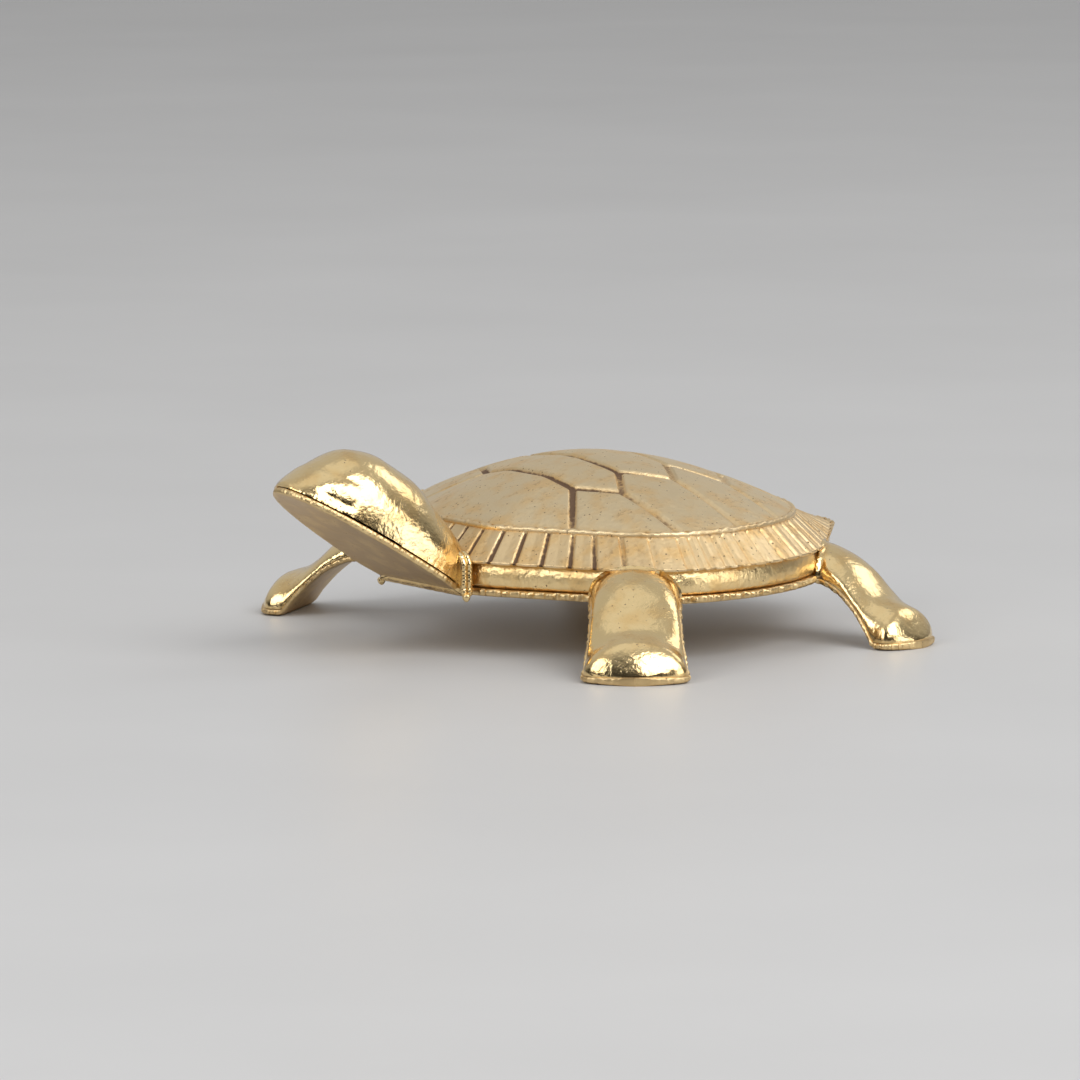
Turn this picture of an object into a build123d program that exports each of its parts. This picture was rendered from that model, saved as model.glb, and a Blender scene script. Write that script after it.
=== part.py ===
"""Gilt sheet-metal turtle: a domed back on a ribbed skirt, four bent legs and a raised half-egg head."""
import os
from math import atan2, cos, radians, sin, tan

from build123d import *

os.makedirs("parts", exist_ok=True)

# Metal, in millimetres
sheet = 0.9
plate_thickness = 1.1
overrun = 2.0

# Shell seen from above, as a seven-sided outline with rounded corners
shell_length = 68.8
shell_width = 66.0
neck_width = 18.4
shoulder_setback = 15.1
flank_length = 25.1
neck_corner_radius = 14.0
shoulder_radius = 16.0
hip_radius = 31.0
tail_radius = 12.0
crown_tail_radius = 33.0

# Shell from the floor up
belly_height = 7.9
band_height = 3.3
ring_rise = 4.2
ring_run = 4.5
dome_rise = 7.3

# Steps between the layers of the shell
lip_overhang = 0.7
plate_proud = 0.3
bead_width = 0.5
bead_height = 0.5
seat_width = 1.6

# Grooves pressed into the back and the skirt
seam_width = 1.1
seam_depth = 0.4
rib_gap_width = 0.6
rib_gap_depth = 0.3
rib_start_radius = 14.0
half_turn = 180.0

# Legs, each along its own axis from the band to the toe
front_leg_length = 17.4
front_leg_angle = 54.0
front_leg_width = 12.2
front_leg_setback = 13.1
front_leg_offset = 28.5
rear_leg_length = 16.6
rear_leg_angle = 105.0
rear_leg_width = 9.8
rear_leg_setback = 48.7
rear_leg_offset = 22.3
leg_root_height = 12.7

# Head, measured along its flat chin plate
chin_length = 25.9
chin_width = 19.6
chin_rear_width = 17.6
chin_thickness = 0.9
chin_tilt = 32.0
chin_lift = 1.6
head_height = 10.3
mouth_slit_length = 8.6
mouth_slit_height = 0.5

# Collar between head and band, and the solder beads beside it
collar_proud = 1.0
collar_width = 19.6
collar_height = 6.0
collar_corner_radius = 2.0
tack_radius = 0.7

# How the dome narrows as it rises: plan size for each level, and the power of its curve
dome_plan_shares = (1.0, 0.93, 0.84, 0.72, 0.57, 0.39, 0.18)
rounding_room_share = 0.99
dome_power_share = 1.75
dome_centre_share = 0.392

# Corners of the scute seams: back from the front edge by the length, out by the half width
front_plate_corner_shares = (0.242, 0.297)
front_plate_edge_shares = (0.128, 0.62)
second_side_shares = (0.294, 0.483)
second_edge_shares = (0.306, 1.0)
second_corner_shares = (0.342, 0.32)
third_side_shares = (0.432, 0.439)
third_edge_shares = (0.449, 1.0)
third_corner_shares = (0.48, 0.25)
fourth_side_shares = (0.565, 0.42)
fourth_edge_shares = (0.583, 1.0)
fourth_corner_shares = (0.622, 0.215)
tail_plate_edge_shares = (0.80, 0.62)

# Grooves of the skirt: turn from the front to the tail, by half a turn, with wide pads in front
rib_turn_shares = (
    *(0.0, 0.045, 0.091, 0.136, 0.178, 0.222, 0.267, 0.303, 0.344, 0.385, 0.425),
    *(0.442, 0.458, 0.481, 0.50, 0.522, 0.55, 0.583, 0.617, 0.65, 0.681, 0.711),
    *(0.742, 0.772, 0.803, 0.833, 0.861, 0.889, 0.917, 0.944, 0.972, 1.0),
)

# Leg stations: along by the length, half width by half the root width, heights by the root height
leg_along_shares = (-0.14, 0.0, 0.18, 0.36, 0.51, 0.64, 0.76, 0.86, 0.95, 1.0)
leg_half_shares = (1.0, 1.0, 0.98, 0.95, 0.99, 1.08, 1.18, 1.14, 0.86, 0.45)
leg_top_shares = (1.01, 1.0, 0.93, 0.80, 0.61, 0.49, 0.435, 0.38, 0.265, 0.165)
leg_base_shares = (0.622, 0.622, 0.60, 0.505, 0.35, 0.17, 0.0, 0.0, 0.0, 0.0)
leg_side_share = 0.22

# Head stations: along by the chin length, half width by half the chin width, height by the head height
head_along_shares = (-0.09, 0.0, 0.10, 0.22, 0.40, 0.58, 0.74, 0.87, 0.95, 0.99)
head_half_shares = (0.78, 0.89, 0.975, 0.99, 0.948, 0.852, 0.71, 0.523, 0.332, 0.145)
head_top_shares = (0.33, 0.62, 0.73, 0.83, 0.985, 1.0, 0.88, 0.52, 0.22, 0.09)
head_side_share = 0.20
chin_straight_share = 0.12
mouth_slit_share = 0.60

# Heights of the layers
band_base = belly_height + plate_thickness
ring_base = band_base + band_height
ring_top = ring_base + ring_rise
dome_base = ring_top + bead_height

# Places along the body: the box from chin tip to tail tip is centred on the origin
half_width = shell_width / 2
hip_setback = shoulder_setback + flank_length
tail_half_angle = atan2(half_width, shell_length - hip_setback)
tail_cut = tail_radius / sin(tail_half_angle) - tail_radius
tilt = radians(chin_tilt)
head_reach = collar_proud + chin_length * cos(tilt) + chin_thickness * sin(tilt)
body_reach = shell_length - tail_cut
shell_front = (head_reach + body_reach) / 2 - head_reach
dome_centre = shell_front - dome_centre_share * shell_length
shell_corners = (
    (shell_front, neck_width / 2),
    (shell_front - shoulder_setback, half_width),
    (shell_front - hip_setback, half_width),
    (shell_front - shell_length, 0),
    (shell_front - hip_setback, -half_width),
    (shell_front - shoulder_setback, -half_width),
    (shell_front, -neck_width / 2),
)
left_radii = (neck_corner_radius, shoulder_radius, hip_radius)
rim_radii = (*left_radii, tail_radius, *reversed(left_radii))
crown_radii = (*left_radii, crown_tail_radius, *reversed(left_radii))


def edge_lines(inset):
    """The outline's straight edges moved inwards, each as its normal and its reach from the origin."""
    lines = []
    for here, there in zip(shell_corners, shell_corners[1:] + shell_corners[:1]):
        run = Vector(there[0] - here[0], there[1] - here[1])
        normal = Vector(run.Y, -run.X).normalized()
        lines.append((normal, normal.dot(Vector(*here)) - inset))
    return lines


def inset_corners(inset):
    """Where neighbouring edges meet once the outline has shrunk by the inset on every side."""
    lines = edge_lines(inset)
    corners = []
    for (first, first_reach), (second, second_reach) in zip(lines[-1:] + lines[:-1], lines):
        turn = first.X * second.Y - first.Y * second.X
        x = (first_reach * second.Y - second_reach * first.Y) / turn
        y = (first.X * second_reach - second.X * first_reach) / turn
        corners.append((x, y))
    return corners


def fitted_radii(points, radii):
    """The corner radii, made smaller where the roundings at the two ends of an edge would meet."""
    corners = [Vector(*point) for point in points]
    runs = [there - here for here, there in zip(corners, corners[1:] + corners[:1])]
    reaches = []
    for before, after, radius in zip(runs[-1:] + runs[:-1], runs, radii):
        reaches.append(radius * tan(radians(before.get_angle(after)) / 2))
    shares = []
    for run, here, there in zip(runs, reaches, reaches[1:] + reaches[:1]):
        shares.append(min(1, rounding_room_share * run.length / (here + there)))
    return [radius * min(pair) for radius, *pair in zip(radii, shares[-1:] + shares[:-1], shares)]


def shell_outline(inset=0, plan_share=1, corner_radii=rim_radii):
    """Adds the shell's outline to the open sketch, shrunk by an inset and then towards the dome's centre.

    No corner is rounded tighter than the sheet can be bent.
    """
    points = []
    for x, y in inset_corners(inset):
        points.append((dome_centre + (x - dome_centre) * plan_share, y * plan_share))
    radii = [max(radius - inset, sheet) * plan_share for radius in corner_radii]
    with BuildLine() as outline:
        FilletPolyline(*points, radius=fitted_radii(points, radii), close=True)
    make_face(outline.edges())


def skirt_loft(drop, mode):
    """Sloping skirt from the rim up to the foot of the dome, lowered by a drop."""
    with BuildSketch(Plane.XY.offset(ring_base - drop)) as rim:
        shell_outline()
    with BuildSketch(Plane.XY.offset(ring_top - drop)) as ridge:
        shell_outline(ring_run, corner_radii=crown_radii)
    loft(sections=[rim.sketch, ridge.sketch], ruled=True, mode=mode)


def dome_loft(drop, mode):
    """Domed back through shrinking copies of its foot, lowered by a drop and closed flat on top."""
    sections = []
    for plan_share in dome_plan_shares:
        level = dome_base - drop + dome_rise * (1 - plan_share**dome_power_share)
        with BuildSketch(Plane.XY.offset(level)) as section:
            shell_outline(ring_run + bead_width, plan_share, crown_radii)
        sections.append(section.sketch)
    loft(sections=sections, ruled=True, mode=mode)


def seam_point(shares):
    """A scute corner from its shares of the shell's length and half width."""
    return (shell_front - shares[0] * shell_length, shares[1] * half_width)


def seam_lines():
    """Scute seams of the left half: five plates along the middle and four down the side."""
    middle = [
        front_plate_corner_shares,
        second_side_shares,
        second_corner_shares,
        third_side_shares,
        third_corner_shares,
        fourth_side_shares,
        fourth_corner_shares,
    ]
    Polyline(*[seam_point(shares) for shares in middle])
    Line(seam_point(front_plate_corner_shares), seam_point(front_plate_edge_shares))
    Line(seam_point(second_side_shares), seam_point(second_edge_shares))
    Line(seam_point(third_side_shares), seam_point(third_edge_shares))
    Line(seam_point(fourth_side_shares), seam_point(fourth_edge_shares))
    Line(seam_point(fourth_corner_shares), seam_point(tail_plate_edge_shares))
    for corner in middle[0::2]:
        x, y = seam_point(corner)
        Line((x, y), (x, 0))


def arch_section(half, base, top, side_share):
    """A D-shaped section: flat below, short upright sides and half an oval over the top."""
    shoulder = base + (top - base) * side_share
    with BuildLine() as outline:
        Polyline((-half, shoulder), (-half, base), (half, base), (half, shoulder))
        EllipticalCenterArc((0, shoulder), half, top - shoulder, start_angle=0, arc_size=180)
    make_face(outline.edges())


def leg_plane(setback, offset, angle, along):
    """Upright plane across a leg, a distance along its axis from the band."""
    heading = radians(angle)
    foot = (shell_front - setback + along * cos(heading), offset + along * sin(heading), 0)
    return Plane(origin=foot, x_dir=(-sin(heading), cos(heading), 0), z_dir=(cos(heading), sin(heading), 0))


def leg_loft(setback, offset, angle, length, width, wall, mode):
    """Bent leg as a run of arched sections that drops to the floor, each side thinner by the wall."""
    sections = []
    stations = zip(leg_along_shares, leg_half_shares, leg_top_shares, leg_base_shares)
    for along_share, half_share, top_share, base_share in stations:
        along = along_share * (length - wall)
        base = base_share * leg_root_height + plate_thickness
        top = max(top_share * leg_root_height, base + plate_thickness) - wall
        with BuildSketch(leg_plane(setback, offset, angle, along)) as section:
            arch_section(half_share * width / 2 - wall, base - wall * leg_side_share, top, leg_side_share)
        sections.append(section.sketch)
    loft(sections=sections, mode=mode)


def tongue_loft(setback, offset, angle, length, width):
    """Tongue of the belly plate that runs down under a leg and ends as its flat sole."""
    sections = []
    for along_share, half_share, base_share in zip(leg_along_shares, leg_half_shares, leg_base_shares):
        base = base_share * leg_root_height
        with BuildSketch(leg_plane(setback, offset, angle, along_share * length)) as section:
            with Locations((0, base + plate_thickness / 2)):
                Rectangle(half_share * width, plate_thickness)
        sections.append(section.sketch)
    loft(sections=sections, ruled=True)


def head_plane(along):
    """Plane across the head, square to the chin plate and a distance along it from its rear edge."""
    rear_x = shell_front + collar_proud
    rear_z = belly_height + chin_lift
    place = (rear_x + along * cos(tilt), 0, rear_z + along * sin(tilt))
    return Plane(origin=place, x_dir=(0, 1, 0), z_dir=(cos(tilt), 0, sin(tilt)))


def head_loft(wall, mode):
    """Half-egg head on its flat side, each side thinner by the wall."""
    sections = []
    for along_share, half_share, top_share in zip(head_along_shares, head_half_shares, head_top_shares):
        along = along_share * (chin_length - wall)
        half = half_share * (chin_width / 2 - wall)
        top = top_share * (head_height - wall)
        with BuildSketch(head_plane(along)) as section:
            arch_section(half, -wall * head_side_share, top, head_side_share)
        sections.append(section.sketch)
    loft(sections=sections, mode=mode)


# Place, heading and size of one leg of each pair
front_leg = (front_leg_setback, front_leg_offset, front_leg_angle, front_leg_length, front_leg_width)
rear_leg = (rear_leg_setback, rear_leg_offset, rear_leg_angle, rear_leg_length, rear_leg_width)

# Outer space of band and skirt, which legs, collar and head are fitted against
with BuildPart() as shell_space:
    with BuildSketch(Plane.XY.offset(belly_height)):
        shell_outline(lip_overhang)
    extrude(amount=ring_base - belly_height)
    skirt_loft(0, Mode.ADD)

# Domed back with its scute seams
with BuildPart() as carapace_dome:
    dome_loft(0, Mode.ADD)
    with BuildSketch(Plane.XY.offset(dome_base)):
        with BuildLine():
            seam_lines()
        trace(line_width=seam_width)
        mirror(about=Plane.XZ)
    extrude(amount=dome_rise + overrun, mode=Mode.SUBTRACT)
    dome_loft(seam_depth, Mode.ADD)
    with BuildSketch(Plane.XY.offset(dome_base)):
        shell_outline(ring_run, corner_radii=crown_radii)
    extrude(amount=-overrun, mode=Mode.SUBTRACT)
    dome_loft(sheet + seam_depth, Mode.SUBTRACT)
carapace_dome.part.label = "carapace_dome"
export_step(carapace_dome.part, "parts/carapace_dome.step")

# Ribbed skirt with the bead that the dome sits in
skirt_drop = sheet / cos(atan2(ring_rise, ring_run))
with BuildPart() as marginal_ring:
    skirt_loft(0, Mode.ADD)
    with BuildSketch(Plane.XY.offset(ring_base)):
        with Locations((dome_centre, 0)):
            for share in rib_turn_shares:
                with PolarLocations(rib_start_radius, 1, start_angle=half_turn * share):
                    Rectangle(shell_length, rib_gap_width, align=(Align.MIN, Align.CENTER))
        mirror(about=Plane.XZ)
    extrude(amount=ring_rise, mode=Mode.SUBTRACT)
    skirt_loft(rib_gap_depth, Mode.ADD)
    with BuildSketch(Plane.XY.offset(ring_base)):
        shell_outline(-overrun)
    extrude(amount=-overrun, mode=Mode.SUBTRACT)
    with BuildSketch(Plane.XY.offset(ring_top)):
        shell_outline(ring_run, corner_radii=crown_radii)
    extrude(amount=bead_height, both=True)
    skirt_loft(skirt_drop + rib_gap_depth, Mode.SUBTRACT)
    with BuildSketch(Plane.XY.offset(ring_base)):
        shell_outline(ring_run + seat_width, corner_radii=crown_radii)
    extrude(amount=ring_rise + overrun, mode=Mode.SUBTRACT)
marginal_ring.part.label = "marginal_ring"
export_step(marginal_ring.part, "parts/marginal_ring.step")

# Upright band under the skirt
with BuildPart() as side_band:
    with BuildSketch(Plane.XY.offset(band_base)):
        shell_outline(lip_overhang)
    extrude(amount=band_height)
    with BuildSketch(Plane.XY.offset(band_base)):
        shell_outline(lip_overhang + sheet)
    extrude(amount=band_height, mode=Mode.SUBTRACT)
side_band.part.label = "side_band"
export_step(side_band.part, "parts/side_band.step")

# Belly plate with a tongue down under each leg
with BuildPart() as belly_plate:
    with BuildSketch(Plane.XY.offset(belly_height)):
        shell_outline(lip_overhang - plate_proud)
    extrude(amount=plate_thickness)
    tongue_loft(*front_leg)
    tongue_loft(*rear_leg)
    mirror(about=Plane.XZ)
belly_plate.part.label = "belly_plate"
export_step(belly_plate.part, "parts/belly_plate.step")

# Left legs, hollow and fitted to the band, with the right legs as their mirror images
with BuildPart() as front_left_leg:
    leg_loft(*front_leg, wall=0, mode=Mode.ADD)
    leg_loft(*front_leg, wall=sheet, mode=Mode.SUBTRACT)
    split(bisect_by=Plane.XY, keep=Keep.TOP)
    add(shell_space.part, mode=Mode.SUBTRACT)
    add(belly_plate.part, mode=Mode.SUBTRACT)
front_left_leg.part.label = "front_left_leg"
export_step(front_left_leg.part, "parts/front_left_leg.step")

with BuildPart() as rear_left_leg:
    leg_loft(*rear_leg, wall=0, mode=Mode.ADD)
    leg_loft(*rear_leg, wall=sheet, mode=Mode.SUBTRACT)
    split(bisect_by=Plane.XY, keep=Keep.TOP)
    add(shell_space.part, mode=Mode.SUBTRACT)
    add(belly_plate.part, mode=Mode.SUBTRACT)
rear_left_leg.part.label = "rear_left_leg"
export_step(rear_left_leg.part, "parts/rear_left_leg.step")

with BuildPart() as front_right_leg:
    mirror(front_left_leg.part, about=Plane.XZ)
front_right_leg.part.label = "front_right_leg"
export_step(front_right_leg.part, "parts/front_right_leg.step")

with BuildPart() as rear_right_leg:
    mirror(rear_left_leg.part, about=Plane.XZ)
rear_right_leg.part.label = "rear_right_leg"
export_step(rear_right_leg.part, "parts/rear_right_leg.step")

# Collar against the front of the band
with BuildPart() as neck_collar:
    with BuildSketch(Plane.YZ.offset(shell_front + collar_proud)):
        with Locations((0, belly_height)):
            Rectangle(collar_width, collar_height, align=(Align.CENTER, Align.MIN))
        fillet(vertices().group_by(Axis.Z)[-1], radius=collar_corner_radius)
    extrude(amount=-(collar_proud + lip_overhang + sheet))
    add(shell_space.part, mode=Mode.SUBTRACT)
    add(belly_plate.part, mode=Mode.SUBTRACT)
neck_collar.part.label = "neck_collar"
export_step(neck_collar.part, "parts/neck_collar.step")

# Head shell, cut to the collar and the skirt, with a slit over the chin plate on each side
with BuildPart() as head_shell:
    head_loft(0, Mode.ADD)
    head_loft(sheet, Mode.SUBTRACT)
    add(shell_space.part, mode=Mode.SUBTRACT)
    add(belly_plate.part, mode=Mode.SUBTRACT)
    add(neck_collar.part, mode=Mode.SUBTRACT)
    with BuildSketch(head_plane(chin_length * mouth_slit_share)):
        Rectangle(chin_width + overrun, mouth_slit_height, align=(Align.CENTER, Align.MIN))
    extrude(amount=mouth_slit_length / 2, both=True, mode=Mode.SUBTRACT)
head_shell.part.label = "head_shell"
export_step(head_shell.part, "parts/head_shell.step")

# Flat chin plate, widest near its straight rear edge, with a rounded front
chin_straight = chin_length * chin_straight_share
chin_half = chin_width / 2
rear_half = chin_rear_width / 2
rear_edge = head_plane(0)
chin_face = Plane(origin=rear_edge.origin, x_dir=rear_edge.z_dir, z_dir=rear_edge.y_dir)
with BuildPart() as chin_plate:
    with BuildSketch(chin_face):
        with BuildLine():
            Polyline((chin_straight, chin_half), (0, rear_half), (0, -rear_half), (chin_straight, -chin_half))
            EllipticalCenterArc(
                (chin_straight, 0), chin_length - chin_straight, chin_half, start_angle=-90, arc_size=180
            )
        make_face()
    extrude(amount=-chin_thickness)
chin_plate.part.label = "chin_plate"
export_step(chin_plate.part, "parts/chin_plate.step")

# Solder beads at the lower ends of the collar, filling the corner beside the head and the plate
with BuildPart() as solder_tacks:
    with Locations((shell_front + collar_proud / 2, collar_width / 2, belly_height)):
        Sphere(tack_radius)
    mirror(about=Plane.XZ)
    for neighbour in (neck_collar, head_shell, chin_plate, belly_plate):
        add(neighbour.part, mode=Mode.SUBTRACT)
solder_tacks.part.label = "solder_tacks"
export_step(solder_tacks.part, "parts/solder_tacks.step")
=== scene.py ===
"""Gilt sheet-metal turtle: scute-seamed dome, ribbed skirt, polished band, bent legs and a half-egg head."""

from math import pi, radians

import bmesh
import bpy
import numpy as np
from bpy.props import FloatProperty, FloatVectorProperty, PointerProperty
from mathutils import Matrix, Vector


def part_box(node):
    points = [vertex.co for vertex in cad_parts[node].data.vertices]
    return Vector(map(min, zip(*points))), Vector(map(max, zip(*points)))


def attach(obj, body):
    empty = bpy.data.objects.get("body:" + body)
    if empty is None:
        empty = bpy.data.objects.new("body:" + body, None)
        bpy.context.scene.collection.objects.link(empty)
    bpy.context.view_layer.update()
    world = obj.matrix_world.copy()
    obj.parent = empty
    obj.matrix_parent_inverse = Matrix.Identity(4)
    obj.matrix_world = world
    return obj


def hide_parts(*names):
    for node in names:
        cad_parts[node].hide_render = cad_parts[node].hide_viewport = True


bl_info = {
    "name": "Gilt Turtle",
    "version": (1, 0, 0),
    "blender": (4, 5, 0),
    "location": "3D View > Sidebar > Turtle",
    "description": "Builds a gilt sheet-metal turtle round its frame, with its stage and light",
    "category": "Add Mesh",
}

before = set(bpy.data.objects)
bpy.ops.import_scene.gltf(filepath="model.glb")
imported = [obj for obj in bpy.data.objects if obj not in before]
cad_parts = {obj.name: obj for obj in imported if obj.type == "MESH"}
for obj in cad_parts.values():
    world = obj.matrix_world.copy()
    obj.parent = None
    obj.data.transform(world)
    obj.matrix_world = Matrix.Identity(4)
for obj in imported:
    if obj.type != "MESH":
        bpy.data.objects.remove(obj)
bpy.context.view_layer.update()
RING_LOW, RING_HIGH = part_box("marginal_ring")
BAND_LOW, BAND_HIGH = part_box("side_band")
PLATE_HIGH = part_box("belly_plate")[1]
DOME_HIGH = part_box("carapace_dome")[1]
CHIN_LOW, CHIN_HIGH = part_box("chin_plate")
COLLAR_LOW, COLLAR_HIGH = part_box("neck_collar")
TACK_LOW, TACK_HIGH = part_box("solder_tacks")

# Scute corners of the left half: back from the front edge by the length, out by the half width
SCUTE_MIDDLE_SHARES = (
    *((0.242, 0.297), (0.294, 0.483), (0.342, 0.32), (0.432, 0.439)),
    *((0.48, 0.25), (0.565, 0.42), (0.622, 0.215)),
)
SCUTE_EDGE_SHARES = ((0.128, 0.62), (0.306, 1.0), (0.449, 1.0), (0.583, 1.0), (0.80, 0.62))

# Grooves of the skirt: turn from the front to the tail, by half a turn, with wide pads in front
RIB_TURN_SHARES = np.array((
    *(0.0, 0.045, 0.091, 0.136, 0.178, 0.222, 0.267, 0.303, 0.344, 0.385, 0.425),
    *(0.442, 0.458, 0.481, 0.50, 0.522, 0.55, 0.583, 0.617, 0.65, 0.681, 0.711),
    *(0.742, 0.772, 0.803, 0.833, 0.861, 0.889, 0.917, 0.944, 0.972, 1.0),
))

# Leg stations: along by the length, half width by half the root width, heights by the root height
LEG_ALONG_SHARES = np.array((-0.14, 0.0, 0.18, 0.36, 0.51, 0.64, 0.76, 0.86, 0.95, 1.0))
LEG_HALF_SHARES = np.array((1.0, 1.0, 1.0, 1.0, 1.03, 1.09, 1.16, 1.15, 1.05, 0.90))
LEG_TOP_SHARES = np.array((1.01, 1.0, 0.93, 0.80, 0.61, 0.49, 0.435, 0.38, 0.265, 0.165))
LEG_BASE_SHARES = np.array((0.622, 0.622, 0.60, 0.505, 0.35, 0.17, 0.0, 0.0, 0.0, 0.0))
TOE_PLAN_SHARE = 0.82
TOE_HEIGHT_SHARE = 0.80

# Head stations: along by the chin length, half width by half the chin width, height by the head height
HEAD_ALONG_SHARES = np.array((-0.09, 0.0, 0.10, 0.22, 0.40, 0.58, 0.74, 0.87, 0.95, 0.99))
HEAD_HALF_SHARES = np.array((0.78, 0.89, 0.975, 0.99, 0.948, 0.852, 0.71, 0.523, 0.332, 0.145))
HEAD_TOP_SHARES = np.array((0.33, 0.62, 0.73, 0.83, 0.985, 0.998, 0.885, 0.555, 0.25, 0.09))

# Soft boxes: direction from the turtle, distance, width, height and level
BOXES = {
    "side_box": ((-0.08, 0.74, 0.67), 1.5, 1.35, 1.05, 3.4),
    "low_box": ((-0.50, 0.85, 0.17), 1.2, 0.70, 0.30, 2.4),
    "rear_box": ((-0.75, 0.02, 0.62), 1.2, 0.50, 0.45, 1.5),
    "top_box": ((0.05, -0.10, 0.99), 1.2, 1.0, 0.8, 0.25),
    "front_box": ((0.86, 0.05, 0.55), 1.5, 0.75, 1.0, 2.8),
}

# Finishes: slot, main and warm colour, roughness, brown amount for patina and painted shade, share and scale
# of pits, depth of grain
FINISHES = {
    "Satin gilt": ("satin_gilt", "satin", "warm", 0.42, 1.0, 0.30, 2300.0, 0.00009),
    "Polished gilt": ("polished_gilt", "polished", "warm", 0.15, 0.9, 0.10, 3000.0, 0.00007),
    "Band gilt": ("polished_gilt", "polished", "warm", 0.30, 0.9, 0.16, 2400.0, 0.00012),
    "Brushed gilt": ("brushed_gilt", "brushed", "polished", 0.38, 0.0, 0.08, 2600.0, 0.00004),
    "Gilded solder": ("solder", "polished", "satin", 0.30, 0.5, 0.2, 1800.0, 0.0001),
}


def length_prop(name, default, description):
    """A length that a user can change."""
    return FloatProperty(name=name, description=description, default=default, unit="LENGTH")


def angle_prop(name, degrees, description):
    """An angle that a user can change."""
    return FloatProperty(name=name, description=description, default=radians(degrees), subtype="ANGLE")


def share_prop(name, default, description):
    """A share of a size that a user can change."""
    return FloatProperty(name=name, description=description, default=default, subtype="FACTOR")


def triple_prop(name, default, description, subtype="COLOR"):
    """A colour, place or direction that a user can change."""
    return FloatVectorProperty(name=name, description=description, default=default, subtype=subtype, size=3)


class ShellSizes(bpy.types.PropertyGroup):
    """Sizes of the dome, the ribbed skirt, the band and the belly plate."""

    length: length_prop("Length", 0.0688, "Front edge to the tail corner before rounding")
    neck_width: length_prop("Neck width", 0.0184, "Straight front edge behind the head")
    shoulder_setback: length_prop("Shoulder setback", 0.0151, "Front edge to the shoulder corner")
    flank_length: length_prop("Flank length", 0.0251, "Shoulder corner to the hip corner")
    neck_radius: length_prop("Neck corner radius", 0.014, "Rounding beside the head")
    shoulder_radius: length_prop("Shoulder radius", 0.016, "Rounding over the front legs")
    hip_radius: length_prop("Hip radius", 0.031, "Rounding over the rear legs")
    tail_radius: length_prop("Tail radius", 0.012, "Rounding of the tail end")
    crown_tail_radius: length_prop("Crown tail radius", 0.033, "Rounding of the dome's foot at the tail")
    bead_width: length_prop("Bead width", 0.0005, "Skirt's ridge to the dome's foot")
    dome_rise: length_prop("Dome rise", 0.0073, "Height of the dome over its foot")
    dome_power: FloatProperty(
        name="Dome power", description="Power of the dome's curve: larger is flatter on top", default=1.75)
    dome_centre_share: share_prop("Dome centre", 0.392, "Place of the dome's top along the length")
    seam_width: length_prop("Seam width", 0.0011, "Width of the scute seams")
    seam_depth: length_prop("Seam depth", 0.00042, "Depth of the scute seams")
    rib_gap_width: length_prop("Rib gap", 0.0007, "Width of the grooves between the pads")
    rib_gap_depth: length_prop("Rib depth", 0.00032, "Depth of the grooves between the pads")
    knurl_depth: length_prop("Knurl depth", 0.00023, "Roughness of the belly plate's cut edge")


class LimbSizes(bpy.types.PropertyGroup):
    """Sizes and places of the legs."""

    root_height: length_prop("Root height", 0.0127, "Top of a leg where it leaves the band")
    front_length: length_prop("Front length", 0.0174, "Band to toe of a front leg")
    front_width: length_prop("Front width", 0.0122, "Width of a front leg at its root")
    front_setback: length_prop("Front setback", 0.0131, "Shell front to a front leg's root")
    front_offset: length_prop("Front offset", 0.0285, "Middle of the body to a front leg's root")
    front_heading: angle_prop("Front heading", 54.0, "Turn of a front leg from straight ahead")
    rear_length: length_prop("Rear length", 0.0166, "Band to toe of a rear leg")
    rear_width: length_prop("Rear width", 0.0098, "Width of a rear leg at its root")
    rear_setback: length_prop("Rear setback", 0.0487, "Shell front to a rear leg's root")
    rear_offset: length_prop("Rear offset", 0.0223, "Middle of the body to a rear leg's root")
    rear_heading: angle_prop("Rear heading", 105.0, "Turn of a rear leg from straight ahead")
    flange: length_prop("Sole flange", 0.0004, "How far the sole stands out round the leg")
    rim: length_prop("Root rim", 0.0004, "Raised bead where a leg meets the band")


class HeadSizes(bpy.types.PropertyGroup):
    """Sizes of the head, measured along its chin plate."""

    chin_length: length_prop("Chin length", 0.0259, "Rear edge of the chin plate to its tip")
    chin_tilt: angle_prop("Chin tilt", 32.0, "Rise of the chin plate towards its tip")
    chin_thickness: length_prop("Chin thickness", 0.0009, "Thickness of the chin plate")
    straight_share: share_prop("Straight share", 0.12, "Part of the chin plate with straight sides")
    rear_width: length_prop("Rear width", 0.0176, "Width of the chin plate at its rear edge")
    collar_depth: length_prop("Collar depth", 0.0017, "Visible depth of the strip behind the head")
    height: length_prop("Head height", 0.01018, "Height of the head over its chin plate")
    slit_height: length_prop("Mouth slit", 0.00013, "Open gap between head and chin plate")
    cheek_step: length_prop("Cheek step", 0.00014, "How far the cheeks stand out beside the snout")
    crease_depth: length_prop("Mouth crease", 0.00010, "Depth of the crease round the snout")


class FinishColours(bpy.types.PropertyGroup):
    """Colours of the gilt: clean, warm, bare, and the dark brown of patina, pits and painted shade."""

    satin: triple_prop("Satin gilt", (0.83, 0.67, 0.42), "Scutes and skirt pads")
    polished: triple_prop("Polished gilt", (0.90, 0.69, 0.36), "Legs, head and band")
    # Warm gilt also gives the darker warm tint along the marks, so it paints shade as well.
    warm: triple_prop("Warm gilt", (0.80, 0.50, 0.18), "Thicker gilt in hollows")
    brushed: triple_prop("Brushed gilt", (0.60, 0.41, 0.20), "Chin and belly plates")
    # The tarnish colour is also the painted shade in creases, crevices, joins and hidden undersides.
    tarnish_and_shade: triple_prop("Tarnish and shade", (0.16, 0.095, 0.055), "Dark brown in seams and pits")


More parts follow.
